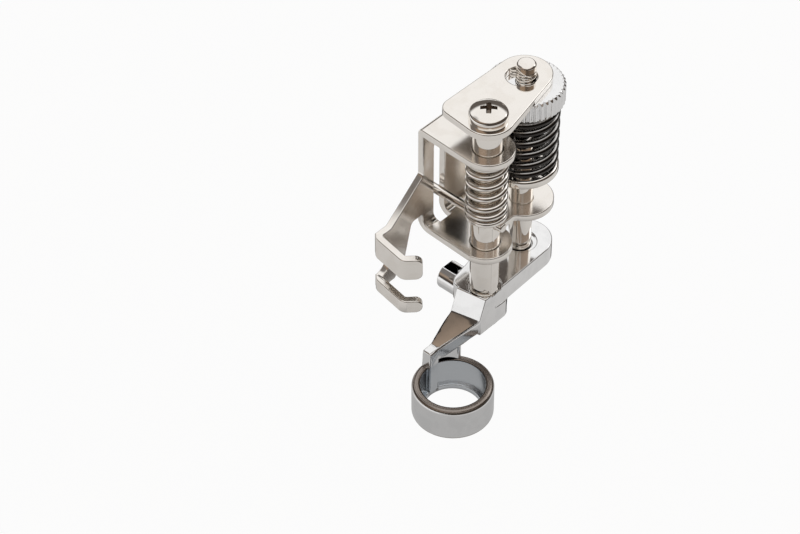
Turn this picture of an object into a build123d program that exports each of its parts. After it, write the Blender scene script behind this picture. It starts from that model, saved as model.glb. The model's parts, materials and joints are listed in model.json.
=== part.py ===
from build123d import *
import math
import os

# A high-shank ruler foot for a sewing machine: a bent sheet frame that hooks round the
# presser bar, a sprung ring on a cast arm, and a knurled wheel that sets the ring's height.
# The origin is on the needle's axis, on the underside of the ring.
# +X is the operator's right, +Y is the back of the machine, +Z is up.

# The ring that rides on the cloth, and that a ruler slides against
ring_outer_d = 12.7
ring_bore_d = 10.0
ring_height = 6.0
sole_lip_w = 0.5
sole_lip_h = 1.0
rim_chamfer = 0.45
sole_edge_r = 0.6

# The cast deck that carries the ring, and the boss and lug on it
ring_drop = 12.55
deck_t = 3.4
deck_lobe_r = 4.5
deck_lobe_out = 0.85
deck_front = 2.5
deck_left = 2.4
deck_back = 4.2
deck_flare = 0.85
deck_corner_r = 1.9
countersink_d = 5.3
countersink_h = 0.4
boss_drop = 3.3
boss_right = 3.8
lug_r = 2.3
lug_drop = 2.5
lug_reach = 7.6
lug_slot_w = 1.7
boss_corner_r = 1.9

# The arm from the deck down to the ring, the leg in the ring's wall and the web behind
ridge_drop = 3.75
ridge_out = 1.3
ridge_back_y = 2.6
arm_t = 2.4
leg_w = 1.7
leg_l = 1.8
leg_x = 0.4
leg_y = 5.0
leg_rise = 3.45
web_t = 1.1
web_end = 30.0

# The front post, fixed in the deck, and what it carries
post_x = 9.5
post_y = 2.3
post_d = 4.5
pin_d = 1.5
pin_rise = 4.5
pin_front = 3.5
pin_past_wall = 0.8
pin_end = 0.15
washer_t = 0.85
washer_d = 6.4
washer_edge_r = 0.3
foot_spring_d = 6.5
foot_wire_d = 0.9
foot_pitch = 2.05
screw_thread_d = 2.6
screw_thread_l = 5.0
screw_head_d = 5.85
screw_head_h = 1.8
screw_edge_h = 0.7
recess_w = 1.0
recess_l = 3.4
recess_h = 0.9
recess_turn = 40.0

# The rear rod, fixed in the frame, and the height stop on it
rod_dx = 11.15
rod_dy = 2.4
rod_d = 3.6
rod_below = 1.1
stud_d = 3.0
stud_above = 2.3
end_chamfer = 0.25
seat_rise = 6.2
seat_t = 1.4
seat_d = 10.9
seat_edge = 0.25
wheel_spring_d = 10.7
wheel_wire_d = 1.2
wheel_pitch = 2.1
stop_washer_t = 0.4
stop_washer_d = 9.6
wheel_d = 11.9
wheel_t = 3.4
wheel_rim = 0.35
knurl_count = 42
knurl_depth = 0.28

# The link plate that joins the post to the stop
link_t = 1.1
link_end_r = 4.15
link_end_dx = 0.35
link_end_dy = 0.5
link_nose_r = 3.8
link_left = 3.0
link_back = 7.2
link_corner_r = 2.2
link_edge_r = 0.2
link_hole_d = 4.7
link_hole_shift = 0.7
link_hole_turn = 150.0

# The bent sheet frame
sheet_t = 1.2
deck_gap = 7.8
window_h = 17.1
link_rise = 4.4
wall_back = 9.2
ear_corner_r = 0.9
plate_bend_r = 1.1
ear_r = 4.1
plate_lobe_r = 4.7
plate_lobe_out = 0.45
valley_back = 0.45
valley_r = 0.9
wall_left = 3.55
wall_right = 7.0
plate_step = 0.1
shoulder_drop = 3.0
wall_slot_w = 2.4
wall_slot_rise = 15.0
slot_into_plate = 1.3

# The channel that grips the presser bar, with its slot for the clamp screw
bar_d = 7.2
bar_clear = 0.08
hook_splay = 9.8
hook_reach = 2.7
lip_turn = 45.0
lip_l = 2.8
hook_bottom = 2.35
hook_height = 10.6
clamp_slot_w = 4.4
clamp_slot_z = 6.85
clamp_slot_end = 1.3
hook_bend_r = 0.4
lip_corner_r = 1.1

# The leg of the sheet between the window and the channel
leg_top_z = 18.7
leg_run = 7.05
leg_under_z = 11.1
leg_under_x = 6.1
channel_right = 7.5
channel_mid_z = 5.6
channel_foot = 9.9
channel_corner_r = 0.8

# Fits
slide_clear = 0.05
guide_clear = 0.15
press_clear = 0.0
touch_clear = 0.05

# Heights, from the cloth up
ring_top = ring_height
deck_z = ring_top + ring_drop
boss_z = deck_z - deck_t - boss_drop
plate_z = deck_z + deck_gap
plate_top = plate_z + sheet_t
pin_z = plate_top + pin_rise
washer_z = pin_z + pin_d / 2
foot_spring_z = washer_z + washer_t
ear_z = plate_top + window_h
ear_top = ear_z + sheet_t
link_z = ear_top + link_rise
link_top = link_z + link_t
seat_z = plate_top + seat_rise
seat_top = seat_z + seat_t
wheel_top = link_z - touch_clear
wheel_z = wheel_top - wheel_t
stop_washer_z = wheel_z - stop_washer_t

# Places, seen from above
rod_x = post_x + rod_dx
rod_y = post_y + rod_dy
wall_front_y = post_y + wall_back
wall_rear_y = wall_front_y + sheet_t
bar_r = bar_d / 2
bar_x = 0.0
bar_y = wall_front_y - bar_clear - bar_r
channel_top = deck_z + hook_bottom + hook_height


def coil(pitch, mean_r, wire_r, bottom, top, x, y):
    """A round-wire spring about a post, from one seat to the other."""
    with BuildPart() as spring:
        with BuildLine() as path:
            Helix(pitch=pitch, height=top - bottom - 2 * wire_r, radius=mean_r,
                  center=(x, y, bottom + wire_r))
        with BuildSketch(Plane(origin=path.line @ 0, z_dir=path.line % 0)):
            Circle(wire_r)
        sweep(is_frenet=True)
    return spring


# The bent sheet frame: two plates with the wall between them, and the bar's channel
splay = math.radians(hook_splay)
lip_angle = math.radians(lip_turn)
sheet_mid = bar_r + bar_clear + sheet_t / 2
wall_mid_y = wall_front_y + sheet_t / 2
hook_low = deck_z + hook_bottom
side_touch = Vector(bar_x - sheet_mid * math.cos(splay), bar_y + sheet_mid * math.sin(splay))
side_run = Vector(math.sin(splay), math.cos(splay))
rear_corner = side_touch + side_run * ((wall_mid_y - side_touch.Y) / side_run.Y)
front_corner = side_touch - side_run * hook_reach
lip_end = front_corner + Vector(math.cos(lip_angle), -math.sin(lip_angle)) * lip_l
slot_end_x = bar_x - clamp_slot_end
wall_l = post_x - wall_left
wall_r = post_x + wall_right
ear_l = post_x - wall_left
ear_right = post_x + ear_r
plate_bend_y = wall_front_y - plate_bend_r
plate_bend_z = plate_top + plate_bend_r
slot_top = plate_top + wall_slot_rise
leg_corner_z = deck_z + leg_top_z
leg_under = deck_z + leg_under_z


def in_valley(vertex):
    """Is this corner of the lower plate's outline between the two lobes?"""
    return post_x < vertex.X < rod_x and vertex.Y < post_y + 2 * valley_back


def at_lip(edge):
    """Is this one of the short edges across the free end of a hook?"""
    middle = edge.center()
    return math.hypot(middle.X - lip_end.X, middle.Y - lip_end.Y) < sheet_t / 4


with BuildPart() as shank_frame:
    # The channel's hooks, bent round the presser bar
    with BuildSketch(Plane.XY.offset(hook_low)):
        with BuildLine():
            FilletPolyline(
                (bar_x - bar_r / 2, wall_mid_y),
                rear_corner,
                front_corner,
                lip_end,
                radius=hook_bend_r + sheet_t / 2,
            )
        trace(line_width=sheet_t)
    extrude(amount=hook_height)
    # The wall of the window, the slanted leg and the back of the channel, in one sheet
    with BuildSketch(Plane.XZ.offset(-wall_rear_y)) as wall_outline:
        with BuildLine():
            Polyline(
                (wall_l, ear_top),
                (wall_l, leg_corner_z),
                (wall_l - leg_run, channel_top),
                (bar_x - bar_r, channel_top),
                (bar_x - bar_r, hook_low),
                (post_x - channel_foot, hook_low),
                (post_x - channel_right, deck_z + channel_mid_z),
                (post_x - leg_under_x, leg_under),
                (wall_l - plate_step, leg_under),
                (wall_l - plate_step, plate_bend_z),
                (wall_r, plate_bend_z),
                (wall_r, ear_z - shoulder_drop),
                (ear_right, ear_top),
                close=True,
            )
        make_face()
        leg_corners = [
            Vertex(wall_l, leg_corner_z, 0),
            Vertex(post_x - channel_right, deck_z + channel_mid_z, 0),
            Vertex(post_x - leg_under_x, leg_under, 0),
        ]
        fillet(
            [wall_outline.vertices().sort_by_distance(corner)[0] for corner in leg_corners],
            channel_corner_r,
        )
    extrude(amount=sheet_t)
    # The lower plate: a lobe under each post
    with BuildSketch(Plane.XY.offset(plate_z)) as plate_outline:
        with BuildLine():
            Polyline(
                (wall_l - plate_step, plate_bend_y),
                (post_x - ear_r, post_y),
                (post_x, post_y),
                (post_x, post_y + valley_back),
                (rod_x, post_y + valley_back),
                (rod_x + plate_lobe_out, rod_y + plate_lobe_r),
                (wall_r, plate_bend_y),
                close=True,
            )
        make_face()
        with Locations((post_x, post_y)):
            Circle(ear_r)
        with Locations((rod_x + plate_lobe_out, rod_y)):
            Circle(plate_lobe_r)
        fillet(plate_outline.vertices().filter_by(in_valley), valley_r)
    extrude(amount=sheet_t)
    # The upper ear
    with BuildSketch(Plane.XY.offset(ear_z)):
        with BuildLine():
            Polyline(
                (ear_l, wall_mid_y),
                (post_x - ear_r, post_y),
                (post_x + ear_r, post_y),
                (ear_right, wall_mid_y),
                close=True,
            )
        make_face()
        with Locations((post_x, post_y)):
            Circle(ear_r)
    extrude(amount=sheet_t)
    ear_ridge = Vertex(post_x, wall_rear_y, ear_top)
    fillet(shank_frame.edges().filter_by(Axis.X).sort_by_distance(ear_ridge)[0], ear_corner_r)
    # The bend from the wall into the lower plate
    with BuildSketch(Plane.YZ.offset(wall_l - plate_step)):
        with BuildLine():
            inner = CenterArc((plate_bend_y, plate_bend_z), plate_bend_r, -90, 90)
            outer = CenterArc((plate_bend_y, plate_bend_z), plate_bend_r + sheet_t, -90, 90)
            Line(inner @ 0, outer @ 0)
            Line(inner @ 1, outer @ 1)
        make_face()
    extrude(amount=wall_r - wall_l + plate_step)
    # The slot that the cross pin rides in, from the wall round into the lower plate
    with BuildSketch(Plane.XZ.offset(-wall_rear_y)):
        with Locations((post_x, slot_top - wall_slot_w / 2)):
            Circle(wall_slot_w / 2)
        with Locations((post_x, slot_top - wall_slot_w / 2)):
            Rectangle(wall_slot_w, slot_top - plate_z, align=(Align.CENTER, Align.MAX))
    extrude(amount=sheet_t + slot_into_plate, mode=Mode.SUBTRACT)
    # The slot for the clamp screw, from the back of the channel round to the lips
    with BuildSketch(Plane.XZ.offset(-wall_rear_y)):
        with Locations((slot_end_x - clamp_slot_w / 2, deck_z + clamp_slot_z)):
            Circle(clamp_slot_w / 2)
            Rectangle(bar_d, clamp_slot_w, align=(Align.MAX, Align.CENTER))
    extrude(amount=wall_rear_y + bar_d, mode=Mode.SUBTRACT)
    fillet(shank_frame.edges().filter_by(at_lip), lip_corner_r)
    # The holes for the posts
    with Locations((post_x, post_y, ear_top)):
        Hole(post_d / 2 + slide_clear, depth=ear_top - plate_z)
    with Locations((rod_x, rod_y, plate_top)):
        Hole(rod_d / 2 + press_clear, depth=sheet_t)
shank_frame.part.label = "shank_frame"
export_step(shank_frame.part, "parts/shank_frame.step")

# The rear rod: a plain guide below, a thinner stud for the wheel above
rod_bottom = deck_z - deck_t - rod_below
stud_top = link_top + stud_above
with BuildPart() as rear_rod:
    with BuildSketch(Plane.XY.offset(rod_bottom)):
        with Locations((rod_x, rod_y)):
            Circle(rod_d / 2)
    extrude(amount=seat_z - rod_bottom)
    with BuildSketch(Plane.XY.offset(seat_z)):
        with Locations((rod_x, rod_y)):
            Circle(stud_d / 2)
    extrude(amount=stud_top - seat_z)
    chamfer(rear_rod.edges().group_by(Axis.Z)[0], end_chamfer)
    chamfer(rear_rod.edges().group_by(Axis.Z)[-1], end_chamfer)
rear_rod.part.label = "rear_rod"
export_step(rear_rod.part, "parts/rear_rod.step")

# The flanged seat on the rod's shoulder, under the dark spring
with BuildPart() as spring_seat:
    with BuildSketch(Plane.XY.offset(seat_z)):
        with Locations((rod_x, rod_y)):
            Circle(seat_d / 2)
            Circle(stud_d / 2 + slide_clear, mode=Mode.SUBTRACT)
    extrude(amount=seat_t)
    seat_circles = spring_seat.edges().filter_by(GeomType.CIRCLE).group_by(Axis.Z)[-1]
    chamfer(seat_circles.sort_by(SortBy.RADIUS)[-1], seat_edge)
spring_seat.part.label = "spring_seat"
export_step(spring_seat.part, "parts/spring_seat.step")

# The dark spring that keeps the wheel's thread from turning by itself
wheel_spring = coil(
    wheel_pitch, (wheel_spring_d - wheel_wire_d) / 2, wheel_wire_d / 2,
    seat_top, stop_washer_z, rod_x, rod_y,
)
wheel_spring.part.label = "wheel_spring"
export_step(wheel_spring.part, "parts/wheel_spring.step")

# The washer between the spring and the wheel that turns on it
with BuildPart() as stop_washer:
    with BuildSketch(Plane.XY.offset(stop_washer_z)):
        with Locations((rod_x, rod_y)):
            Circle(stop_washer_d / 2)
            Circle(stud_d / 2 + guide_clear, mode=Mode.SUBTRACT)
    extrude(amount=stop_washer_t)
stop_washer.part.label = "stop_washer"
export_step(stop_washer.part, "parts/stop_washer.step")

# The knurled wheel that the link plate rests on
with BuildPart() as height_wheel:
    with BuildSketch(Plane.XY.offset(wheel_z)):
        with Locations((rod_x, rod_y)):
            Circle(wheel_d / 2)
    extrude(amount=wheel_t)
    chamfer(height_wheel.edges(), wheel_rim)
    with BuildSketch(Plane.XY.offset(wheel_z)):
        with Locations((rod_x, rod_y)):
            Circle(stud_d / 2 + slide_clear)
            with PolarLocations(wheel_d / 2, knurl_count):
                RegularPolygon(knurl_depth, 3, major_radius=False, rotation=180)
    extrude(amount=wheel_t, mode=Mode.SUBTRACT)
height_wheel.part.label = "height_wheel"
export_step(height_wheel.part, "parts/height_wheel.step")

# The front post, cross-drilled for the pin and tapped for the screw
with BuildPart() as front_post:
    with BuildSketch(Plane.XY.offset(boss_z)):
        with Locations((post_x, post_y)):
            Circle(post_d / 2)
    extrude(amount=link_z - boss_z)
    chamfer(front_post.edges().group_by(Axis.Z)[0], end_chamfer)
    with Locations((post_x, post_y, link_z)):
        Hole(screw_thread_d / 2 + slide_clear, depth=screw_thread_l + link_t)
    with BuildSketch(Plane.XZ.offset(-post_y - post_d)):
        with Locations((post_x, pin_z)):
            Circle(pin_d / 2)
    extrude(amount=2 * post_d, mode=Mode.SUBTRACT)
front_post.part.label = "front_post"
export_step(front_post.part, "parts/front_post.step")

# The cross pin, whose rear end rides in the wall's slot
with BuildPart() as guide_pin:
    with BuildSketch(Plane.XZ.offset(-wall_rear_y - pin_past_wall)):
        with Locations((post_x, pin_z)):
            Circle(pin_d / 2)
    extrude(amount=wall_rear_y + pin_past_wall - post_y + pin_front)
    chamfer(guide_pin.edges().filter_by(GeomType.CIRCLE), pin_end)
guide_pin.part.label = "guide_pin"
export_step(guide_pin.part, "parts/guide_pin.step")

# The washer on the pin that carries the spring
with BuildPart() as spring_washer:
    with BuildSketch(Plane.XY.offset(washer_z)):
        with Locations((post_x, post_y)):
            Circle(washer_d / 2)
            Circle(post_d / 2 + slide_clear, mode=Mode.SUBTRACT)
    extrude(amount=washer_t)
    washer_circles = spring_washer.edges().filter_by(GeomType.CIRCLE)
    fillet(washer_circles.sort_by(SortBy.RADIUS)[-2:], washer_edge_r)
spring_washer.part.label = "spring_washer"
export_step(spring_washer.part, "parts/spring_washer.step")

# The bright spring that pushes the foot down on the cloth
foot_spring = coil(
    foot_pitch, (foot_spring_d - foot_wire_d) / 2, foot_wire_d / 2,
    foot_spring_z, ear_z, post_x, post_y,
)
foot_spring.part.label = "foot_spring"
export_step(foot_spring.part, "parts/foot_spring.step")

# The link plate, screwed to the post and reaching over the wheel
hole_turn = math.radians(link_hole_turn)
link_hole_x = rod_x + link_hole_shift * math.cos(hole_turn)
link_hole_y = rod_y + link_hole_shift * math.sin(hole_turn)
with BuildPart() as link_plate:
    with BuildSketch(Plane.XY.offset(link_z)) as link_outline:
        with BuildLine():
            CenterArc((post_x, post_y), link_nose_r, 0, 360)
            CenterArc((rod_x + link_end_dx, rod_y + link_end_dy), link_end_r, 0, 360)
            Line((post_x - link_left, post_y + link_back), (post_x, post_y + link_back))
        make_hull()
        link_corner = Vertex(post_x - link_left, post_y + link_back, link_z)
        fillet(link_outline.vertices().sort_by_distance(link_corner)[0], link_corner_r)
        with Locations((post_x, post_y)):
            Circle(screw_thread_d / 2 + guide_clear, mode=Mode.SUBTRACT)
        with Locations((link_hole_x, link_hole_y)):
            Circle(link_hole_d / 2, mode=Mode.SUBTRACT)
    extrude(amount=link_t)
    fillet(link_plate.edges().group_by(Axis.Z)[-1].sort_by(SortBy.LENGTH)[2:], link_edge_r)
link_plate.part.label = "link_plate"
export_step(link_plate.part, "parts/link_plate.step")

# The cross-slotted screw that holds the link plate on the post
with BuildPart() as link_screw:
    with BuildSketch(Plane.XY.offset(link_top)):
        with Locations((post_x, post_y)):
            Circle(screw_head_d / 2)
    extrude(amount=screw_head_h)
    fillet(link_screw.edges().group_by(Axis.Z)[-1], screw_edge_h)
    with BuildSketch(Plane.XY.offset(link_top)):
        with Locations((post_x, post_y)):
            Circle(screw_thread_d / 2)
    extrude(amount=-screw_thread_l)
    with BuildSketch(Plane.XY.offset(link_top + screw_head_h)):
        with Locations((post_x, post_y)):
            Rectangle(recess_l, recess_w, rotation=recess_turn)
            Rectangle(recess_w, recess_l, rotation=recess_turn)
    extrude(amount=-recess_h, mode=Mode.SUBTRACT)
link_screw.part.label = "link_screw"
export_step(link_screw.part, "parts/link_screw.step")

# The casting: the ring, its leg, the arm and the deck that the posts pass through
leg_right = leg_x + leg_w / 2
leg_top_face = ring_top + leg_rise
ridge_z = deck_z - ridge_drop
deck_front_y = post_y - deck_front
deck_back_y = post_y + deck_back
deck_l = post_x - deck_left
deck_back_l = deck_l - deck_flare
ridge_front = Vector(deck_l - ridge_out, deck_front_y, ridge_z)
ridge_back = Vector(deck_back_l - ridge_out, post_y + ridge_back_y, ridge_z)
ridge_mid = (ridge_front + ridge_back) / 2
ridge_w = (ridge_back - ridge_front).length
arm_root = Plane(
    origin=ridge_mid - Vector(0, 0, arm_t / 2),
    x_dir=ridge_back - ridge_front,
    z_dir=(ridge_back - ridge_front).cross(Vector(0, 0, 1)),
)
arm_foot = Plane(origin=(leg_right, leg_y, leg_top_face - arm_t / 2), x_dir=(0, 1, 0), z_dir=(1, 0, 0))

with BuildPart() as ruler_foot:
    # The web: a piece of the ring's wall carried up to the arm
    with BuildSketch(Plane.XY.offset(ring_top - sole_lip_h)):
        Circle(ring_outer_d / 2)
        Circle(ring_outer_d / 2 - web_t, mode=Mode.SUBTRACT)
        with BuildLine():
            Polyline(
                (0, 0),
                (0, ring_outer_d),
                (ring_outer_d, ring_outer_d),
                (ring_outer_d, ring_outer_d * math.tan(math.radians(web_end))),
                close=True,
            )
        make_face(mode=Mode.INTERSECT)
    extrude(amount=ridge_z - ring_top)
    with BuildSketch(Plane.XZ.offset(-ring_outer_d)):
        with BuildLine():
            Polyline(
                (-ring_outer_d, leg_top_face - arm_t / 2),
                (leg_right, leg_top_face - arm_t / 2),
                (ridge_mid.X, ridge_z - arm_t / 2),
                (post_x, ridge_z - arm_t / 2),
                (post_x, deck_z),
                (-ring_outer_d, deck_z),
                close=True,
            )
        make_face()
    extrude(amount=2 * ring_outer_d, mode=Mode.SUBTRACT)
    # The ring, with a lip inside at the sole
    with BuildSketch(Plane.XZ) as ring_section:
        with BuildLine():
            Polyline(
                (ring_bore_d / 2, ring_top),
                (ring_outer_d / 2 - rim_chamfer, ring_top),
                (ring_outer_d / 2, ring_top - rim_chamfer),
                (ring_outer_d / 2, 0),
                (ring_bore_d / 2 - sole_lip_w, 0),
                (ring_bore_d / 2 - sole_lip_w, sole_lip_h),
                (ring_bore_d / 2, sole_lip_h),
                close=True,
            )
        make_face()
        fillet(ring_section.vertices().group_by(Axis.Y)[0].sort_by(Axis.X)[-1], sole_edge_r)
    revolve(axis=Axis.Z)
    # The leg in the ring's wall
    with BuildSketch(Plane.XY.offset(sole_lip_h)):
        with Locations((leg_x, leg_y)):
            Rectangle(leg_w, leg_l)
    extrude(amount=leg_top_face - sole_lip_h)
    # The arm, thin at the leg and wide at the deck
    with BuildSketch(arm_root):
        Rectangle(ridge_w, arm_t)
    with BuildSketch(arm_foot):
        Rectangle(leg_l, arm_t)
    loft(ruled=True)
    # The slotted lug behind the deck
    with BuildSketch(Plane.XZ.offset(-post_y - lug_reach)):
        with Locations((post_x, deck_z - lug_drop)):
            Circle(lug_r)
    extrude(amount=lug_reach)
    with BuildSketch(Plane.XZ.offset(-post_y - lug_reach)):
        with Locations((post_x, deck_z - lug_drop + lug_r)):
            Rectangle(lug_slot_w, 2 * lug_r)
    extrude(amount=lug_reach, mode=Mode.SUBTRACT)
    # The deck, round at the rear rod
    with BuildSketch(Plane.XY.offset(deck_z - deck_t)) as deck_outline:
        with BuildLine():
            CenterArc((rod_x + deck_lobe_out, rod_y), deck_lobe_r, 0, 360)
            Line((deck_l, deck_front_y), (deck_back_l, deck_back_y))
        make_hull()
        fillet(deck_outline.vertices().group_by(Axis.X)[0].sort_by(Axis.Y)[-1], deck_corner_r)
    extrude(amount=deck_t)
    # The step from the deck's left edge down to the ridge
    with BuildSketch(Plane.XY.offset(deck_z)):
        with BuildLine():
            Polyline(
                (deck_l, deck_front_y),
                (deck_back_l, ridge_back.Y),
                (post_x, ridge_back.Y),
                (post_x, deck_front_y),
                close=True,
            )
        make_face()
    with BuildSketch(Plane.XY.offset(ridge_z)):
        with BuildLine():
            Polyline(
                (ridge_front.X, ridge_front.Y),
                (ridge_back.X, ridge_back.Y),
                (post_x, ridge_back.Y),
                (post_x, deck_front_y),
                close=True,
            )
        make_face()
    loft(ruled=True)
    # The boss under the deck
    with BuildSketch(Plane.XY.offset(boss_z)) as boss_outline:
        with BuildLine():
            Polyline(
                (ridge_front.X, ridge_front.Y),
                (ridge_back.X, ridge_back.Y),
                (post_x + boss_right, ridge_back.Y),
                (post_x + boss_right, deck_front_y),
                close=True,
            )
        make_face()
        fillet(boss_outline.vertices().group_by(Axis.X)[-1], boss_corner_r)
    extrude(amount=ridge_z - boss_z)
    with BuildSketch(Plane.XY.offset(ridge_z)) as boss_neck:
        with BuildLine():
            Polyline(
                (post_x, ridge_back.Y),
                (post_x + boss_right, ridge_back.Y),
                (post_x + boss_right, deck_front_y),
                (post_x, deck_front_y),
                close=True,
            )
        make_face()
        fillet(boss_neck.vertices().group_by(Axis.X)[-1], boss_corner_r)
    extrude(amount=deck_z - deck_t - ridge_z)
    # The bores for the two posts
    with Locations((post_x, post_y, deck_z)):
        CounterBoreHole(post_d / 2 + press_clear, countersink_d / 2, countersink_h)
    with Locations((rod_x, rod_y, deck_z)):
        CounterBoreHole(rod_d / 2 + guide_clear, countersink_d / 2, countersink_h)
ruler_foot.part.label = "ruler_foot"
export_step(ruler_foot.part, "parts/ruler_foot.step")
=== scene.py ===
# %% [markdown]
# A ruler foot for a sewing machine, in bright nickel and chrome.
#
# The solids come in as a fixed frame, already at their real size and place. What is left to do
# here is what makes plated metal believable: a small round on every edge, springs with closed
# and ground ends, a thread on the stud, and something worth reflecting all around.

# %% Load the solids
import json
from math import asin, cos, pi, radians, sin

import bmesh
import bpy
from mathutils import Matrix, Vector


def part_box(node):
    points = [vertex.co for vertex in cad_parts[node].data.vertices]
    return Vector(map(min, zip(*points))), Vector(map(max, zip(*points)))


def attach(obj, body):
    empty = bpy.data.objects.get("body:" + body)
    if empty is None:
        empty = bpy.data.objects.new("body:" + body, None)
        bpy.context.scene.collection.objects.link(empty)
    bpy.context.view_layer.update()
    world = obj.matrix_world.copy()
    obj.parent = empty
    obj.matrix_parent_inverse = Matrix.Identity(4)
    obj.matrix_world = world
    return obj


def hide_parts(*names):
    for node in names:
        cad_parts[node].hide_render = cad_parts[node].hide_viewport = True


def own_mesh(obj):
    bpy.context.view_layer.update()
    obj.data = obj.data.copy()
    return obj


MM = 0.001
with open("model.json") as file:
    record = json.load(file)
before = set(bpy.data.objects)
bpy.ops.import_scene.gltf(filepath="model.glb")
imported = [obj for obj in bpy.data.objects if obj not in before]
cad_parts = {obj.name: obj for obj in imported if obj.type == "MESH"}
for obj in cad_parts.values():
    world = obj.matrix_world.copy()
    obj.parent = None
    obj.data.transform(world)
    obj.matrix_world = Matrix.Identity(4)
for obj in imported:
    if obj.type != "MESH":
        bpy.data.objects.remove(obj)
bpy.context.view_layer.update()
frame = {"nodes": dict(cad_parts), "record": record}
nodes = frame["nodes"]
body_of_node = {}
for body, members in frame["record"]["behaviour"]["bodies"].items():
    for member in members:
        body_of_node[member] = body

# %% [markdown]
# The camera comes first, because every later choice is judged through it. The foot was
# photographed from its front left and from well above, with a long lens, so upright edges stay
# almost parallel. A turn about Z and a tilt about X place such a camera, and a last small roll
# about its own line of sight levels the picture. Two level directions follow from it, away from
# the camera and to its right, and the room is laid out along them.

# %% Camera
CAMERA_PLACE = Vector((-207.36, -178.70, 287.04)) * MM
CAMERA_AZIMUTH = radians(-47.566)
CAMERA_ELEVATION = radians(43.183)
CAMERA_ROLL = radians(0.197)
LENS_PER_WIDTH = 3.20868
SENSOR_WIDTH = 36.0
NEAREST_SEEN = 10 * MM

camera_data = bpy.data.cameras.new("camera")
camera_data.sensor_width = SENSOR_WIDTH
camera_data.lens = LENS_PER_WIDTH * SENSOR_WIDTH
camera_data.clip_start = NEAREST_SEEN
camera = bpy.data.objects.new("camera", camera_data)
bpy.context.scene.collection.objects.link(camera)
bpy.context.scene.camera = camera
turn = Matrix.Rotation(CAMERA_AZIMUTH, 4, "Z")
tilt = Matrix.Rotation(pi / 2 - CAMERA_ELEVATION, 4, "X")
roll = Matrix.Rotation(-CAMERA_ROLL, 4, "Z")
camera.matrix_world = Matrix.Translation(CAMERA_PLACE) @ turn @ tilt @ roll
AWAY = Vector((-sin(CAMERA_AZIMUTH), cos(CAMERA_AZIMUTH), 0))
RIGHT = Vector((AWAY.y, -AWAY.x, 0))
print("camera looks along", [round(part, 3) for part in AWAY])

# %% [markdown]
# Node trees are easier to read when the wiring is short. The first helper adds a node with its
# settings made and its inputs set or linked. The others wrap the few nodes that come back again
# and again: a colour ramp, a mix of two colours, and sums on single values.


# %% Helpers for nodes
def add(tree, kind, inputs=None, **settings):
    """A node with its settings made and its inputs set or linked."""
    node = tree.nodes.new(kind)
    for name, value in settings.items():
        setattr(node, name, value)
    for name, value in (inputs or {}).items():
        if isinstance(value, bpy.types.NodeSocket):
            tree.links.new(value, node.inputs[name])
        else:
            node.inputs[name].default_value = value
    return node


def ramp(tree, factor, *stops):
    """A colour ramp through the given (place, grey or colour) stops."""
    node = add(tree, "ShaderNodeValToRGB", {"Fac": factor})
    marks = node.color_ramp.elements
    while len(marks) < len(stops):
        marks.new(1.0)
    for mark, (place, colour) in zip(marks, stops):
        mark.position = place
        mark.color = (*colour, 1) if isinstance(colour, tuple) else (colour, colour, colour, 1)
    return node.outputs["Color"]


def mixed(tree, share, first, second):
    """A mix of two colours, each a socket or a plain colour."""
    node = add(tree, "ShaderNodeMix", data_type="RGBA")
    tree.links.new(share, node.inputs[0])
    for socket, value in ((node.inputs[6], first), (node.inputs[7], second)):
        if isinstance(value, tuple):
            socket.default_value = (*value, 1)
        else:
            tree.links.new(value, socket)
    return node.outputs[2]


def maths(tree, operation, *values):
    """The result of a Math node on one or two values."""
    return add(tree, "ShaderNodeMath", dict(enumerate(values)), operation=operation).outputs["Value"]


def times(tree, first, second):
    """The product of two values."""
    return maths(tree, "MULTIPLY", first, second)


def less(tree, first, second):
    """The first value less the second."""
    return maths(tree, "SUBTRACT", first, second)


# %% [markdown]
# A mask says where an effect shows, from 0 to 1. Nearly all of them here are smooth steps: one
# that rises, one that falls, or one of each for a band. What they step on is either how far a
# point or a direction reaches along an axis, or how far a point lies from the needle's axis.


# %% Helpers for masks
def step(tree, value, low, high):
    """A smooth step from 0 at low to 1 at high."""
    node = add(
        tree, "ShaderNodeMapRange", {"Value": value, "From Min": low, "From Max": high},
        interpolation_type="SMOOTHSTEP",
    )
    return node.outputs["Result"]


def fall(tree, value, low, high):
    """A smooth step down, from 1 at low to 0 at high."""
    return less(tree, 1.0, step(tree, value, low, high))


def band(tree, value, rises, falls):
    """A band that rises over one span of a value and falls over another."""
    return times(tree, step(tree, value, *rises), fall(tree, value, *falls))


def reach(tree, vector, axis):
    """How far a vector reaches along an axis."""
    return add(tree, "ShaderNodeVectorMath", {0: vector, 1: axis}, operation="DOT_PRODUCT").outputs["Value"]


def level_part(tree, place):
    """A place with its height taken off."""
    node = add(tree, "ShaderNodeVectorMath", {0: place, 1: (1, 1, 0)}, operation="MULTIPLY")
    return node.outputs["Vector"]


def length(tree, vector):
    """The length of a vector."""
    return add(tree, "ShaderNodeVectorMath", {0: vector}, operation="LENGTH").outputs["Value"]


def height_of(tree, vector):
    """The Z part of a vector."""
    return add(tree, "ShaderNodeSeparateXYZ", {"Vector": vector}).outputs["Z"]


# %% [markdown]
# Bright plate has almost no colour of its own: it shows the room. A product table gives it a
# white sky behind and above, and a brown, dim room on the near side. Low down the room is almost
# black all around, and this draws the thin dark line along every rounded edge. The room needs no
# modelling, because the world's colour can follow direction alone: a direction's height says how
# far up a wall it points, and its reach towards the camera says which wall it is.

# %% The walls of the room
SKY = (1.0, 0.995, 0.99)
BROWN = (0.35, 0.265, 0.20)
DARK = (0.07, 0.058, 0.049)
FAR_DARK = (0.12, 0.105, 0.095)
ROOM_TOP = (0.66, 0.80)
NEAR_SIDE = (-0.35, -0.02)
DARK_TOP_LEFT = 0.20
DARK_TOP_NEAR = 0.68
DARK_TOP_RIGHT = 0.60
DARK_TOP_FAR = 0.46
DARK_FADE = 0.09

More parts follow.
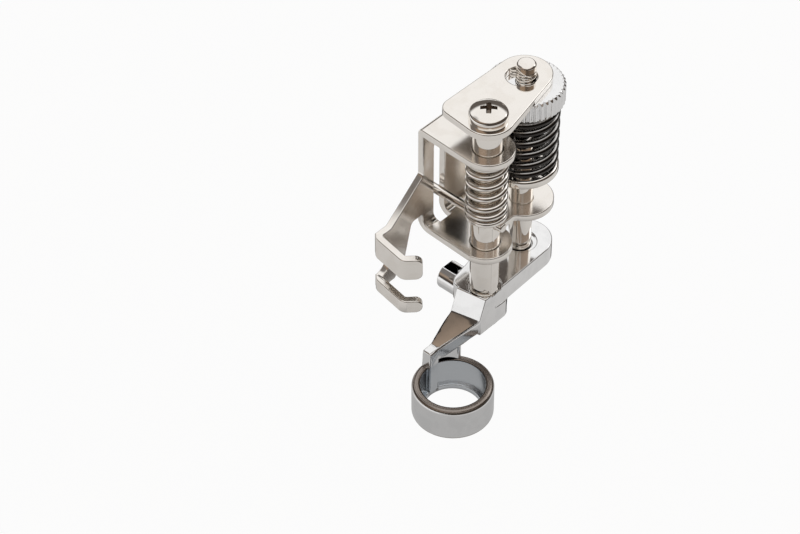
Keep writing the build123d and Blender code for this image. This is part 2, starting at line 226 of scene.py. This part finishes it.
world = bpy.data.worlds.new("room")
bpy.context.scene.world = world
world.use_nodes = True
tree = world.node_tree
tree.nodes.clear()
direction = add(tree, "ShaderNodeTexCoord").outputs["Generated"]
height = height_of(tree, direction)
near_share = step(tree, reach(tree, direction, -AWAY), *NEAR_SIDE)
sideways = add(
    tree, "ShaderNodeMapRange", {"Value": reach(tree, direction, RIGHT), "From Min": -1.0, "From Max": 1.0},
).outputs["Result"]
near_top = ramp(tree, sideways, (0.0, DARK_TOP_LEFT), (0.5, DARK_TOP_NEAR), (1.0, DARK_TOP_RIGHT))
dark_top = mixed(tree, near_share, (DARK_TOP_FAR, DARK_TOP_FAR, DARK_TOP_FAR), near_top)
low_wall = mixed(tree, near_share, FAR_DARK, DARK)
high_wall = mixed(tree, near_share, SKY, BROWN)
high_wall = mixed(tree, step(tree, height, *ROOM_TOP), high_wall, SKY)
above_dark = step(tree, less(tree, height, dark_top), -DARK_FADE, DARK_FADE)
room = mixed(tree, above_dark, low_wall, high_wall)
print("nodes in the walls:", len(tree.nodes))

# %% [markdown]
# Two soft round spots are painted on the walls. A pale window on the near side lights the front of
# every dome, and a grey flag at the left keeps the slanted edges from burning out. A spot needs
# only the cosine between a direction and its own, which is their dot product. The camera itself
# sees plain white wherever it looks past the edge of the sweep.

# %% The window and the flag
WINDOW_TURN = 8.0
WINDOW_RAISE = 54.0
WINDOW_INNER = radians(7)
WINDOW_OUTER = radians(13)
WINDOW_COLOUR = (0.95, 0.93, 0.90)
FLAG_TURN = -97.0
FLAG_RAISE = 42.0
FLAG_INNER = radians(14)
FLAG_OUTER = radians(26)
FLAG_COLOUR = (0.19, 0.175, 0.165)
WHITE = (1.0, 1.0, 1.0)


def toward(turned, raised):
    """A direction, turned to the right of the near side and raised, both in degrees."""
    level = RIGHT * sin(radians(turned)) - AWAY * cos(radians(turned))
    return level * cos(radians(raised)) + Vector((0, 0, sin(radians(raised))))


def spot(aim, inner, outer):
    """A soft round mask about a direction of the world."""
    return step(tree, reach(tree, direction, aim), cos(outer), cos(inner))


window = spot(toward(WINDOW_TURN, WINDOW_RAISE), WINDOW_INNER, WINDOW_OUTER)
flag = spot(toward(FLAG_TURN, FLAG_RAISE), FLAG_INNER, FLAG_OUTER)
room = mixed(tree, window, room, WINDOW_COLOUR)
room = mixed(tree, flag, room, FLAG_COLOUR)
in_view = add(tree, "ShaderNodeLightPath").outputs["Is Camera Ray"]
room = mixed(tree, in_view, room, WHITE)
background = add(tree, "ShaderNodeBackground", {"Color": room, "Strength": 1.0})
add(tree, "ShaderNodeOutputWorld", {"Surface": background.outputs["Background"]})
print("nodes in the room:", len(tree.nodes))

# %% [markdown]
# The foot hangs on its presser bar, so the sweep that it is photographed on lies well below it.
# One large square of paper does: it ends far outside the picture, and nothing on it is modelled.

# %% The sweep
SWEEP_DEPTH = 60 * MM
SWEEP_HALF = 1500 * MM

bm = bmesh.new()
bmesh.ops.create_grid(bm, x_segments=1, y_segments=1, size=SWEEP_HALF)
bmesh.ops.translate(bm, verts=bm.verts, vec=(0, 0, -SWEEP_DEPTH))
mesh = bpy.data.meshes.new("sweep")
bm.to_mesh(mesh)
bm.free()
sweep = bpy.data.objects.new("sweep", mesh)
bpy.context.scene.collection.objects.link(sweep)
print("sweep below the ring in mm:", round(SWEEP_DEPTH / MM))

# %% [markdown]
# The metal sees the sweep as a photographer would lay it out. A grey card lies round the foot and
# gives the upright faces their grey. It is darkest close to the foot and paler outwards, which is
# painted shade round the foot. Beyond it the near and the right side fade to the dark room, and the
# far and the left side to white. A dark strip behind outlines the back edges, and a dark patch right
# under the foot, a painted shadow of the foot, draws the lower ones. All of it is a colour that
# follows the place on the paper, so it costs nothing to move while looking at the render.

# %% The card on the sweep
CARD_SPAN = 300
# The card's grey, darkest close to the foot, is painted shade round the foot.
CARD_SHADE_STOPS = (
    (0, (0.46, 0.455, 0.45)),
    (68, (0.47, 0.465, 0.46)),
    (80, (0.56, 0.55, 0.54)),
    (96, (0.63, 0.62, 0.61)),
    (125, (0.67, 0.66, 0.65)),
    (CARD_SPAN, (0.67, 0.66, 0.65)),
)
NEAR_DARK = (190 * MM, 290 * MM)
RIGHT_DARK = (220 * MM, 300 * MM)
FAR_BRIGHT = (150 * MM, 240 * MM)
LEFT_BRIGHT = (140 * MM, 240 * MM)
STRIP_SIDE = (0.78, 0.90)
STRIP_RADIUS = (73 * MM, 82 * MM)
STRIP_FAR = (190 * MM, 240 * MM)
# The dark patch under the foot is a painted shadow of the foot.
UNDER_SHADOW_CENTRE = Vector((10, 3, 0)) * MM
UNDER_SHADOW_PATCH = (34 * MM, 52 * MM)
UNDER_SHADOW_COLOUR = (0.28, 0.26, 0.245)

sweep_material = bpy.data.materials.new("sweep")
sweep_material.use_nodes = True
tree = sweep_material.node_tree
tree.nodes.clear()
place = add(tree, "ShaderNodeTexCoord").outputs["Object"]
level = level_part(tree, place)
around = length(tree, level)
stops = [(far / CARD_SPAN, tint) for far, tint in CARD_SHADE_STOPS]
card = ramp(tree, times(tree, around, 1 / (CARD_SPAN * MM)), *stops)
fades = (
    (-AWAY, NEAR_DARK, DARK),
    (AWAY, FAR_BRIGHT, SKY),
    (-RIGHT, LEFT_BRIGHT, SKY),
    (RIGHT, RIGHT_DARK, DARK),
)
for side, span, tint in fades:
    card = mixed(tree, step(tree, reach(tree, place, side), *span), card, tint)
behind = maths(tree, "DIVIDE", reach(tree, place, AWAY), around)
strip = times(tree, step(tree, behind, *STRIP_SIDE), band(tree, around, STRIP_RADIUS, STRIP_FAR))
card = mixed(tree, strip, card, FAR_DARK)
from_foot = add(tree, "ShaderNodeVectorMath", {0: level, 1: UNDER_SHADOW_CENTRE}, operation="DISTANCE")
# The painted shadow under the foot.
card = mixed(tree, step(tree, from_foot.outputs["Value"], *UNDER_SHADOW_PATCH), UNDER_SHADOW_COLOUR, card)
print("nodes in the card:", len(tree.nodes))

# %% [markdown]
# The camera has to see the sweep white, and the metal has to see the card, each at full strength
# whatever the light does. So both rays get mostly glow, in white or in the card's colours. A
# small share of plain paper stays under it and takes the soft shadow.

# %% The sweep's finish
SHADOW_SHARE = 0.08

ray = add(tree, "ShaderNodeLightPath").outputs
tint = mixed(tree, ray["Is Camera Ray"], card, WHITE)
paper = add(tree, "ShaderNodeBsdfDiffuse", {"Color": tint})
glow = add(tree, "ShaderNodeEmission", {"Color": tint, "Strength": 1.0})
seen = times(tree, maths(tree, "MAXIMUM", ray["Is Camera Ray"], ray["Is Glossy Ray"]), 1 - SHADOW_SHARE)
blend = add(tree, "ShaderNodeMixShader", {0: seen, 1: paper.outputs["BSDF"], 2: glow.outputs["Emission"]})
add(tree, "ShaderNodeOutputMaterial", {"Surface": blend.outputs["Shader"]})
sweep.data.materials.append(sweep_material)
print("sweep glows for camera and mirror rays:", 1 - SHADOW_SHARE)

# %% [markdown]
# One large soft lamp stands at the right and a little behind. The room alone would light the foot
# evenly, and the lamp gives the round parts a bright streak to hold, away from the flat faces.

# %% The lamp
LAMP_TURN = 118.0
LAMP_RAISE = 30.0
LAMP_REACH = 320 * MM
LAMP_SIDE = 120 * MM
LAMP_POWER = 0.05
LAMP_AIM = Vector((10, 4, 25)) * MM

lamp_data = bpy.data.lights.new("soft_lamp", "AREA")
lamp_data.shape = "SQUARE"
lamp_data.size = LAMP_SIDE
lamp_data.energy = LAMP_POWER
lamp = bpy.data.objects.new("soft_lamp", lamp_data)
lamp.location = LAMP_AIM + toward(LAMP_TURN, LAMP_RAISE) * LAMP_REACH
lamp.rotation_euler = (LAMP_AIM - lamp.location).to_track_quat("-Z", "Y").to_euler()
bpy.context.scene.collection.objects.link(lamp)
print("lamp stands at, in mm:", [round(part / MM) for part in lamp.location])

# %% [markdown]
# All the finishes share one effect: plate is never quite flat or quite clean. Broad, shallow
# swells bend its reflections, and clouds of fine grit vary how sharp they are. The group is built
# once, from noise on Object coordinates, and each material gives it its own values.

# %% The plated surface, as a node group
CLOUD_NOISE = {"Scale": 420.0, "Detail": 3.0}
CLOUD_EDGE = (0.42, 0.62)
GRIT_NOISE = {"Scale": 6000.0, "Detail": 2.0}
GRIT_EDGE = (0.5, 0.75)
SWELL_NOISE = {"Scale": 260.0, "Detail": 1.0}
SWELL_DEPTH = 0.05 * MM


def noise(tree, place, settings):
    """The value of a noise at a place."""
    return add(tree, "ShaderNodeTexNoise", {"Vector": place, **settings}).outputs["Fac"]


def make_plate_group():
    """The shared group: a clouded colour, a roughness and a faintly swelling normal."""
    group = bpy.data.node_groups.new("plated_surface", "ShaderNodeTree")
    face = group.interface
    for name in ("Colour", "Stain"):
        face.new_socket(name, in_out="INPUT", socket_type="NodeSocketColor")
    for name in ("Sharp", "Hazy", "Wave"):
        face.new_socket(name, in_out="INPUT", socket_type="NodeSocketFloat")
    face.new_socket("Colour", in_out="OUTPUT", socket_type="NodeSocketColor")
    face.new_socket("Roughness", in_out="OUTPUT", socket_type="NodeSocketFloat")
    face.new_socket("Normal", in_out="OUTPUT", socket_type="NodeSocketVector")
    given = group.nodes.new("NodeGroupInput").outputs
    result = group.nodes.new("NodeGroupOutput")
    place = add(group, "ShaderNodeTexCoord").outputs["Object"]
    cloud = step(group, noise(group, place, CLOUD_NOISE), *CLOUD_EDGE)
    dull = times(group, cloud, step(group, noise(group, place, GRIT_NOISE), *GRIT_EDGE))
    rough = add(
        group, "ShaderNodeMapRange", {"Value": dull, "To Min": given["Sharp"], "To Max": given["Hazy"]},
    )
    relief = add(
        group, "ShaderNodeBump",
        {"Height": noise(group, place, SWELL_NOISE), "Strength": given["Wave"], "Distance": SWELL_DEPTH},
    )
    group.links.new(mixed(group, cloud, given["Colour"], given["Stain"]), result.inputs["Colour"])
    group.links.new(rough.outputs["Result"], result.inputs["Roughness"])
    group.links.new(relief.outputs["Normal"], result.inputs["Normal"])
    return group


plate_group = make_plate_group()
print("nodes in the plated surface:", len(plate_group.nodes))

# %% [markdown]
# Nickel is faintly warm and gets warmer where it mirrors itself. The turned posts and the link are
# polished, and the bent sheet is satin from its rolling. The chrome of the casting and the wheel
# is cool, the height spring is blackened steel, and the screw's recess is darker and duller. Each
# finish is a plain metal, and only the values that it gives the group differ.

# %% Finishes
NICKEL = ((0.87, 0.835, 0.79), (0.84, 0.80, 0.75))
CHROME = ((0.86, 0.86, 0.86), (0.82, 0.82, 0.822))
# A darker, duller nickel for the faces deep in the screw's recess.
DARKENED_NICKEL = ((0.30, 0.25, 0.21), (0.16, 0.13, 0.11))
# The bright steel of the height spring's painted crest highlight.
CREST_HIGHLIGHT_STEEL = ((0.44, 0.43, 0.42), (0.36, 0.35, 0.34))
POLISHED = (0.06, 0.14)
BUFFED = (0.09, 0.18)
OILED = (0.14, 0.26)
SATIN = (0.17, 0.26)
DULL = (0.20, 0.35)
SLIGHT_WAVE = 0.15
WAVE = 0.3


def plated(name, colours, sharpness, wave):
    """A plated metal, with its two colours, its sharpest and haziest roughness and its waves."""
    material = bpy.data.materials.new(name)
    material.use_nodes = True
    tree = material.node_tree
    tree.nodes.clear()
    surface = add(tree, "ShaderNodeGroup", node_tree=plate_group)
    for socket, colour in zip(("Colour", "Stain"), colours):
        surface.inputs[socket].default_value = (*colour, 1)
    for socket, value in zip(("Sharp", "Hazy", "Wave"), (*sharpness, wave)):
        surface.inputs[socket].default_value = value
    metal = add(
        tree, "ShaderNodeBsdfPrincipled",
        {"Base Color": surface.outputs["Colour"], "Metallic": 1.0,
         "Roughness": surface.outputs["Roughness"], "Normal": surface.outputs["Normal"]},
    )
    add(tree, "ShaderNodeOutputMaterial", {"Surface": metal.outputs["BSDF"]})
    return material


finishes = {
    "nickel": plated("bright_nickel", NICKEL, POLISHED, SLIGHT_WAVE),
    "sheet": plated("satin_nickel", NICKEL, SATIN, SLIGHT_WAVE),
    "chrome": plated("bright_chrome", CHROME, BUFFED, SLIGHT_WAVE),
    "casting": plated("cast_chrome", CHROME, BUFFED, SLIGHT_WAVE),
    "recess": plated("dull_dark_recess", DARKENED_NICKEL, DULL, WAVE),
    "spring_steel": plated("black_spring_steel", CREST_HIGHLIGHT_STEEL, OILED, WAVE),
}
print("finishes:", sorted(finishes))

# %% [markdown]
# Inside the ring the bore is painted a darker blue: painted shade, for the ring shading its own
# inside. The ring's rim was turned on a lathe and shows its fine grooves. Two masks, on the distance
# from the needle's axis and on the height, give the bore its painted shade and the top of the rim a
# darker brown. The grooves are a sine wave of that same distance in a Bump node, because they are
# far too fine to model.

# %% The bore and the rim of the ring
BORE_RADIUS = 5.06 * MM
BORE_TOP = (6.4 * MM, 7.2 * MM)
# The painted shade inside the ring's bore.
BORE_SHADE_COLOUR = (0.65, 0.68, 0.71)
RING_RADIUS = 6.30 * MM
MASK_FADE = 0.06 * MM
RIM_BROWN_SPAN = (5.45 * MM, 5.75 * MM)
RIM_TOP = (6.02 * MM, 6.06 * MM)
RIM_COLOUR = (0.30, 0.262, 0.235)
TURNED_ROUGH = 0.26
GROOVE = 0.22 * MM
GROOVE_DEPTH = 0.01 * MM
GROOVE_STRENGTH = 0.6


def shader_and_surface(material):
    """The shader of a plated material, and its group."""
    kinds = {node.type: node for node in material.node_tree.nodes}
    return kinds["BSDF_PRINCIPLED"], kinds["GROUP"]


def turned_ring(material):
    """Gives a casting a painted shade inside its ring, a darker brown on the rim and the turned grooves
    there.
    """
    tree = material.node_tree
    metal, surface = shader_and_surface(material)
    place = add(tree, "ShaderNodeTexCoord").outputs["Object"]
    height = height_of(tree, place)
    aside = length(tree, level_part(tree, place))
    bore_edge = (BORE_RADIUS - MASK_FADE, BORE_RADIUS)
    ring_edge = (RING_RADIUS, RING_RADIUS + MASK_FADE)
    in_bore = times(tree, fall(tree, aside, *bore_edge), fall(tree, height, *BORE_TOP))
    on_rim = times(tree, band(tree, aside, bore_edge, ring_edge), band(tree, height, RIM_BROWN_SPAN, RIM_TOP))
    # The bore's darker blue is painted shade, and the rim is painted a darker brown.
    colour = mixed(tree, in_bore, surface.outputs["Colour"], BORE_SHADE_COLOUR)
    colour = mixed(tree, on_rim, colour, RIM_COLOUR)
    worn = add(
        tree, "ShaderNodeMapRange",
        {"Value": maths(tree, "MAXIMUM", in_bore, on_rim),
         "To Min": surface.outputs["Roughness"], "To Max": TURNED_ROUGH},
    )
    grooves = maths(tree, "SINE", times(tree, aside, 2 * pi / GROOVE))
    relief = add(
        tree, "ShaderNodeBump",
        {"Height": times(tree, grooves, on_rim), "Strength": GROOVE_STRENGTH, "Distance": GROOVE_DEPTH,
         "Normal": surface.outputs["Normal"]},
    )
    tree.links.new(colour, metal.inputs["Base Color"])
    tree.links.new(worn.outputs["Result"], metal.inputs["Roughness"])
    tree.links.new(relief.outputs["Normal"], metal.inputs["Normal"])


turned_ring(finishes["casting"])
print("grooves on the rim:", round((RING_RADIUS - BORE_RADIUS) / GROOVE))

# %% [markdown]
# The height spring is black all over, with a painted highlight along the top of each coil: the
# crests that face up get a bright steel colour, and the flanks stay black. The direction that the
# surface faces tells the crests from the flanks, so the colour is a mix on the upward part of the
# normal.

# %% The painted highlight on the height spring's crests
CREST = (0.50, 0.85)
BLACK_OXIDE = (0.055, 0.050, 0.047)


def paint_crest_highlight(material):
    """Paints a highlight in a finish's colour on the crests that face up, and black on the rest."""
    tree = material.node_tree
    metal, surface = shader_and_surface(material)
    facing = add(tree, "ShaderNodeNewGeometry").outputs["Normal"]
    # A painted highlight on the crests that face up.
    crest_highlight = step(tree, height_of(tree, facing), *CREST)
    tree.links.new(mixed(tree, crest_highlight, BLACK_OXIDE, surface.outputs["Colour"]), metal.inputs["Base Color"])


paint_crest_highlight(finishes["spring_steel"])
print("nodes in the black finish:", len(finishes["spring_steel"].node_tree.nodes))

# %% [markdown]
# Every new piece ends the same way. It becomes an object with smooth faces, gets the finish of the
# solid's material slot, and is tied to the body that it moves with. The casting and the bent sheet
# have finishes of their own within their slots.

# %% Helpers for pieces
WELD = 0.0005 * MM
SHARP_EDGE = radians(32)

slot_of_node = {part["node"]: part["material_slot"] for part in frame["record"]["subparts"]}
finish_of_node = {**slot_of_node, "shank_frame": "sheet", "ruler_foot": "casting"}


def link_mesh(name, bm):
    """Makes an object of a bmesh, with every face smooth."""
    for face in bm.faces:
        face.smooth = True
    mesh = bpy.data.meshes.new(name)
    bm.to_mesh(mesh)
    bm.free()
    if "custom_normal" in mesh.attributes:
        mesh.attributes.remove(mesh.attributes["custom_normal"])
    piece = bpy.data.objects.new(name, mesh)
    bpy.context.scene.collection.objects.link(piece)
    return piece


def dress(piece, node):
    """Gives a finished mesh a node's finish, and the body that the node moves with."""
    piece.data.materials.clear()
    piece.data.materials.append(finishes[finish_of_node[node]])
    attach(piece, body_of_node[node])


def keep_flat(piece):
    """Lets the large faces rule the shading where they meet small rounds."""
    flat = piece.modifiers.new("flat_faces", "WEIGHTED_NORMAL")
    flat.mode = "FACE_AREA"
    flat.keep_sharp = True


print("finish of each node:", finish_of_node)

# %% [markdown]
# A mirror-bright edge is never sharp: tumbling and plating leave a small round, and that round
# is where the eye finds the thin light and dark lines. To round the solids' edges, the script has
# to know the true edges from the seams between the facets of a curve. The solid's own corner
# normals tell them apart: across a true edge they differ, and across a seam they agree. A true
# outer edge gets its round as a bevel weight, and an inner corner stays sharp. The table gives the
# rounds in millimetres. The ring's rim is crowned, so its edges have wider ones.

# %% True edges
TRUE_EDGE = radians(6)
WIDEST_ROUND = 0.40
RIM_INNER_ROUND = 0.40
RIM_OUTER_ROUND = 0.28
RIM_LOW = 5.4 * MM
RIM_WIDE = 6.5 * MM
EDGE_ROUND = {
    "shank_frame": 0.18,
    "ruler_foot": 0.20,
    "height_wheel": 0.06,
    "spring_seat": 0.16,
    "stop_washer": 0.05,
    "front_post": 0.14,
    "rear_rod": 0.12,
    "guide_pin": 0.06,
}


def edge_width(node, edge):
    """The round of an edge in millimetres."""
    ends = [vert.co for vert in edge.verts]
    on_rim = all(end.z > RIM_LOW and end.xy.length < RIM_WIDE for end in ends)
    if node != "ruler_foot" or not on_rim:
        return EDGE_ROUND[node]
    inner = all(end.xy.length < BORE_RADIUS for end in ends)
    return RIM_INNER_ROUND if inner else RIM_OUTER_ROUND


def true_edges(bm, normals, node):
    """Weighs each true edge with its round, and counts them."""
    weight = bm.edges.layers.float.new("bevel_weight_edge")
    count = 0
    for edge in bm.edges:
        edge.smooth = True
        if len(edge.link_loops) != 2:
            continue
        first, second = edge.link_loops
        turns = (
            first[normals].angle(second.link_loop_next[normals], 0.0),
            first.link_loop_next[normals].angle(second[normals], 0.0),
        )
        if min(turns) <= TRUE_EDGE:
            continue
        if edge.calc_face_angle_signed(0.0) < 0:
            edge.smooth = False
        else:
            edge[weight] = edge_width(node, edge) / WIDEST_ROUND
            count += 1
    return count


print("rounds in mm:", EDGE_ROUND)

# %% [markdown]
# The solids' meshes are left alone, so each rounded piece is a copy. Its loose triangles are
# welded, its true edges are weighed, and the flat faces' triangles are dissolved into whole faces.
# Then a Bevel modifier makes each round as wide as its weight says, and weighted normals keep the
# flat faces flat. The link plate and the spring washer have their rounds in the solids already,
# and only get a finish.

# %% Pieces with rounded edges
FLAT_EDGE = radians(0.5)
EDGE_SEGMENTS = 4
ROUND_ALREADY = ("link_plate", "spring_washer")


def keep_normals(bm, source):
    """Stores the solid's corner normals in the bmesh, because welding would lose them."""
    normals = bm.loops.layers.float_vector.new("solid_normal")
    corners = source.corner_normals
    for face in bm.faces:
        first = source.polygons[face.index].loop_start
        for place, loop in enumerate(face.loops):
            loop[normals] = corners[first + place].vector
    return normals


def round_edges(node):
    """Replaces a solid by a welded copy whose true edges are rounded."""
    source = nodes[node].data
    bm = bmesh.new()
    bm.from_mesh(source)
    normals = keep_normals(bm, source)
    bmesh.ops.remove_doubles(bm, verts=bm.verts, dist=WELD)
    count = true_edges(bm, normals, node)
    bmesh.ops.dissolve_limit(bm, angle_limit=FLAT_EDGE, verts=bm.verts, edges=bm.edges)
    bm.loops.layers.float_vector.remove(bm.loops.layers.float_vector["solid_normal"])
    piece = link_mesh(node + "_plated", bm)
    bevel = piece.modifiers.new("edge_round", "BEVEL")
    bevel.width = WIDEST_ROUND * MM
    bevel.segments = EDGE_SEGMENTS
    bevel.limit_method = "WEIGHT"
    bevel.use_clamp_overlap = False
    keep_flat(piece)
    dress(piece, node)
    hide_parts(node)
    print(piece.name, "true edges:", count, "faces:", len(piece.data.polygons))


for node in EDGE_ROUND:
    round_edges(node)
for node in ROUND_ALREADY:
    nodes[node].material_slots[0].material = finishes[finish_of_node[node]]

# %% [markdown]
# A compression spring ends in a closed coil that is ground flat, so that it stands square on its
# seat. One small circle is spun about the post while it climbs: slowly in the first and the last
# turn, where the wire touches itself, and by the full pitch between. A cut at each seat then
# grinds the ends, and the cut faces are filled.

# %% Springs
COIL_STEPS = 56
WIRE_SIDES = 14
CLOSED_TURNS = 1.0


def grind_ends(bm, low, high):
    """Cuts a coil flat at its two seats."""
    for height, up in ((low, -1), (high, 1)):
        bmesh.ops.bisect_plane(
            bm, geom=bm.verts[:] + bm.edges[:] + bm.faces[:], plane_co=(0, 0, height),
            plane_no=(0, 0, up), clear_outer=True,
        )
    bmesh.ops.holes_fill(bm, edges=[edge for edge in bm.edges if edge.is_boundary])


def wind_spring(node, wire, active_turns):
    """Replaces a spring's solid by a coil with closed and ground ends in the same space."""
    low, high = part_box(node)
    centre = (low + high) / 2
    mean = (high.x - low.x) / 2 - wire / 2
    climb = high.z - low.z - wire / 2 - 2 * wire
    bm = bmesh.new()
    at_seat = Matrix.Translation((centre.x + mean, centre.y, low.z + wire / 4))
    upright = Matrix.Rotation(pi / 2, 4, "X")
    wire_end = bmesh.ops.create_circle(
        bm, segments=WIRE_SIDES, radius=wire / 2, matrix=at_seat @ upright,
    )["verts"]
    geometry = wire_end + bm.edges[:]
    for turns, rise in ((CLOSED_TURNS, wire), (active_turns, climb), (CLOSED_TURNS, wire)):
        steps = round(turns * COIL_STEPS)
        spun = bmesh.ops.spin(
            bm, geom=geometry, cent=centre, axis=(0, 0, 1), dvec=(0, 0, rise / steps),
            angle=2 * pi * turns, steps=steps,
        )
        geometry = spun["geom_last"]
    bmesh.ops.remove_doubles(bm, verts=bm.verts, dist=WELD)
    grind_ends(bm, low.z, high.z)
    bmesh.ops.recalc_face_normals(bm, faces=bm.faces)
    piece = link_mesh(node + "_wound", bm)
    piece.data.set_sharp_from_angle(angle=SHARP_EDGE)
    dress(piece, node)
    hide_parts(node)
    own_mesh(piece)
    print(piece.name, "turns:", active_turns + 2 * CLOSED_TURNS, "faces:", len(piece.data.polygons))


# %% [markdown]
# The foot spring pushes from the frame's upper ear down on the foot, so its top stays and it
# shortens as the foot rises. The height spring stands on its seat and follows the wheel down.

# %% The two springs
FOOT_WIRE = 1.0 * MM
FOOT_TURNS = 4.1
WHEEL_WIRE = 1.2 * MM
WHEEL_TURNS = 4.0

wind_spring("foot_spring", FOOT_WIRE, FOOT_TURNS)
wind_spring("wheel_spring", WHEEL_WIRE, WHEEL_TURNS)

# %% [markdown]
# The stud above the wheel carries a fine thread, worn almost smooth. The same spin that wound
# the springs lays a low ridge round it, half a millimetre a turn, and its tip stays plain. The
# ridge is a small triangle at the start, with its base just inside the stud.

# %% The stud's thread
THREAD_PITCH = 0.5 * MM
THREAD_ROOT = 1.47 * MM
THREAD_CREST = 1.54 * MM
THREAD_FLANK = 0.45 * THREAD_PITCH
THREAD_STEPS = 40
PLAIN_TIP = 1.3 * MM

rod_low, rod_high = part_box("rear_rod")
rod_centre = (rod_low + rod_high) / 2
thread_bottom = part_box("height_wheel")[1].z + THREAD_PITCH / 2
thread_turns = (rod_high.z - PLAIN_TIP - thread_bottom) / THREAD_PITCH
bm = bmesh.new()
corners = ((THREAD_ROOT, -THREAD_FLANK), (THREAD_CREST, 0), (THREAD_ROOT, THREAD_FLANK))
profile = [
    bm.verts.new((rod_centre.x + outward, rod_centre.y, thread_bottom + upward))
    for outward, upward in corners
]
section = bm.faces.new(profile)
bmesh.ops.spin(
    bm, geom=[section] + section.edges[:] + profile, cent=rod_centre, axis=(0, 0, 1),
    dvec=(0, 0, THREAD_PITCH / THREAD_STEPS), angle=2 * pi * thread_turns,
    steps=round(thread_turns * THREAD_STEPS), use_duplicate=False,
)
bmesh.ops.recalc_face_normals(bm, faces=bm.faces)
thread = link_mesh("stud_thread", bm)
thread.data.set_sharp_from_angle(angle=SHARP_EDGE)
dress(thread, "rear_rod")
print("thread turns:", round(thread_turns, 1))

# %% [markdown]
# The screw that holds the link has a domed pan head. A dome is a short arc spun about the screw's
# axis, and the arc itself is one vertex spun about the centre of the sphere. The head's side, its
# underside and the shank are drawn from the arc's end, one vertex at a time. The edge between the
# dome and the side is then rounded.

# %% The link screw's turned form
HEAD_SIDE = 1.25 * MM
HEAD_RAISE = 0.25 * MM
SHANK_RADIUS = 1.28 * MM
DOME_STEPS = 12
HEAD_STEPS = 72
RIM_ROUND = 0.35 * MM
RIM_SEGMENTS = 5

screw_low, screw_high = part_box("link_screw")
screw_centre = (screw_low + screw_high) / 2
head_radius = (screw_high.x - screw_low.x) / 2
head_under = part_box("link_plate")[1].z
head_top = screw_high.z + HEAD_RAISE
dome_rise = head_top - head_under - HEAD_SIDE
dome_radius = (head_radius ** 2 + dome_rise ** 2) / (2 * dome_rise)
dome_angle = asin(head_radius / dome_radius)
dome_centre = Vector((screw_centre.x, screw_centre.y, head_top - dome_radius))

bm = bmesh.new()
top = bm.verts.new((screw_centre.x, screw_centre.y, head_top))
arc = bmesh.ops.spin(bm, geom=[top], cent=dome_centre, axis=(0, 1, 0), angle=dome_angle, steps=DOME_STEPS)
end = arc["geom_last"][0]
outline = (
    (head_radius, head_under), (SHANK_RADIUS, head_under), (SHANK_RADIUS, screw_low.z), (0, screw_low.z),
)
for outward, height in outline:
    end = bmesh.ops.extrude_vert_indiv(bm, verts=[end])["verts"][0]
    end.co = (screw_centre.x + outward, screw_centre.y, height)
bmesh.ops.spin(
    bm, geom=bm.verts[:] + bm.edges[:], cent=screw_centre, axis=(0, 0, 1), angle=2 * pi, steps=HEAD_STEPS,
    use_merge=True,
)
bmesh.ops.remove_doubles(bm, verts=bm.verts, dist=WELD)
bmesh.ops.recalc_face_normals(bm, faces=bm.faces)
rim = [
    edge for edge in bm.edges
    if all(abs(vert.co.z - head_under - HEAD_SIDE) < WELD for vert in edge.verts)
]
bmesh.ops.bevel(
    bm, geom=rim, offset=RIM_ROUND, offset_type="OFFSET", segments=RIM_SEGMENTS, profile=0.5, material=-1,
    affect="EDGES",
)
screw = link_mesh("link_screw_domed", bm)
print("dome radius in mm:", round(dome_radius / MM, 2), "edges on the rim:", len(rim))

# %% [markdown]
# The cross recess is cut by two tapered bars with the Boolean modifier, as a punch would press it.
# Each cut is applied at once, so the bars can go. The small rounds on the recess come last, from a
# Bevel modifier, and the faces that lie below the dome get a darker, duller finish.

# %% The link screw's cross recess
RECESS_TURN = radians(40)
RECESS_SIZE = Vector((3.9, 1.15, 2.2)) * MM
RECESS_TAPER = 0.35
RECESS_ROUND = 0.09 * MM
RECESS_SEGMENTS = 3


def cut_bar(piece, turned):
    """Cuts one tapered bar of the cross recess into a piece."""
    bm = bmesh.new()
    bmesh.ops.create_cube(bm, size=1.0)
    lower = [vert for vert in bm.verts if vert.co.z < 0]
    bmesh.ops.scale(bm, verts=lower, vec=(RECESS_TAPER, RECESS_TAPER, 1))
    bmesh.ops.scale(bm, verts=bm.verts, vec=RECESS_SIZE)
    on_head = Matrix.Translation((screw_centre.x, screw_centre.y, head_top))
    bmesh.ops.transform(bm, verts=bm.verts, matrix=on_head @ Matrix.Rotation(turned, 4, "Z"))
    bar = link_mesh("recess_bar", bm)
    cut = piece.modifiers.new("recess", "BOOLEAN")
    cut.operation = "DIFFERENCE"
    cut.solver = "EXACT"
    cut.object = bar
    shaped = bpy.data.meshes.new_from_object(piece.evaluated_get(bpy.context.evaluated_depsgraph_get()))
    piece.modifiers.remove(cut)
    piece.data = shaped
    bpy.data.objects.remove(bar)


for quarter in (0, 1):
    cut_bar(screw, RECESS_TURN + quarter * pi / 2)
soft = screw.modifiers.new("edge_round", "BEVEL")
soft.width = RECESS_ROUND
soft.segments = RECESS_SEGMENTS
soft.limit_method = "ANGLE"
soft.angle_limit = SHARP_EDGE
keep_flat(screw)
dress(screw, "link_screw")
screw.data.materials.append(finishes["recess"])
# The faces deep in the recess are set darker and duller.
darkened_faces = 0
for face in screw.data.polygons:
    depth = dome_radius - (face.center - dome_centre).length
    if depth > RECESS_ROUND and (face.center - screw_centre).xy.length < RECESS_SIZE.x / 2:
        face.material_index = 1
        darkened_faces += 1
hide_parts("link_screw")
print("faces:", len(screw.data.polygons), "of them darkened:", darkened_faces)

# %% [markdown]
# The view transform stays Standard, so a colour comes out as it is written.

# %% Finish
bpy.context.scene.view_settings.view_transform = "Standard"
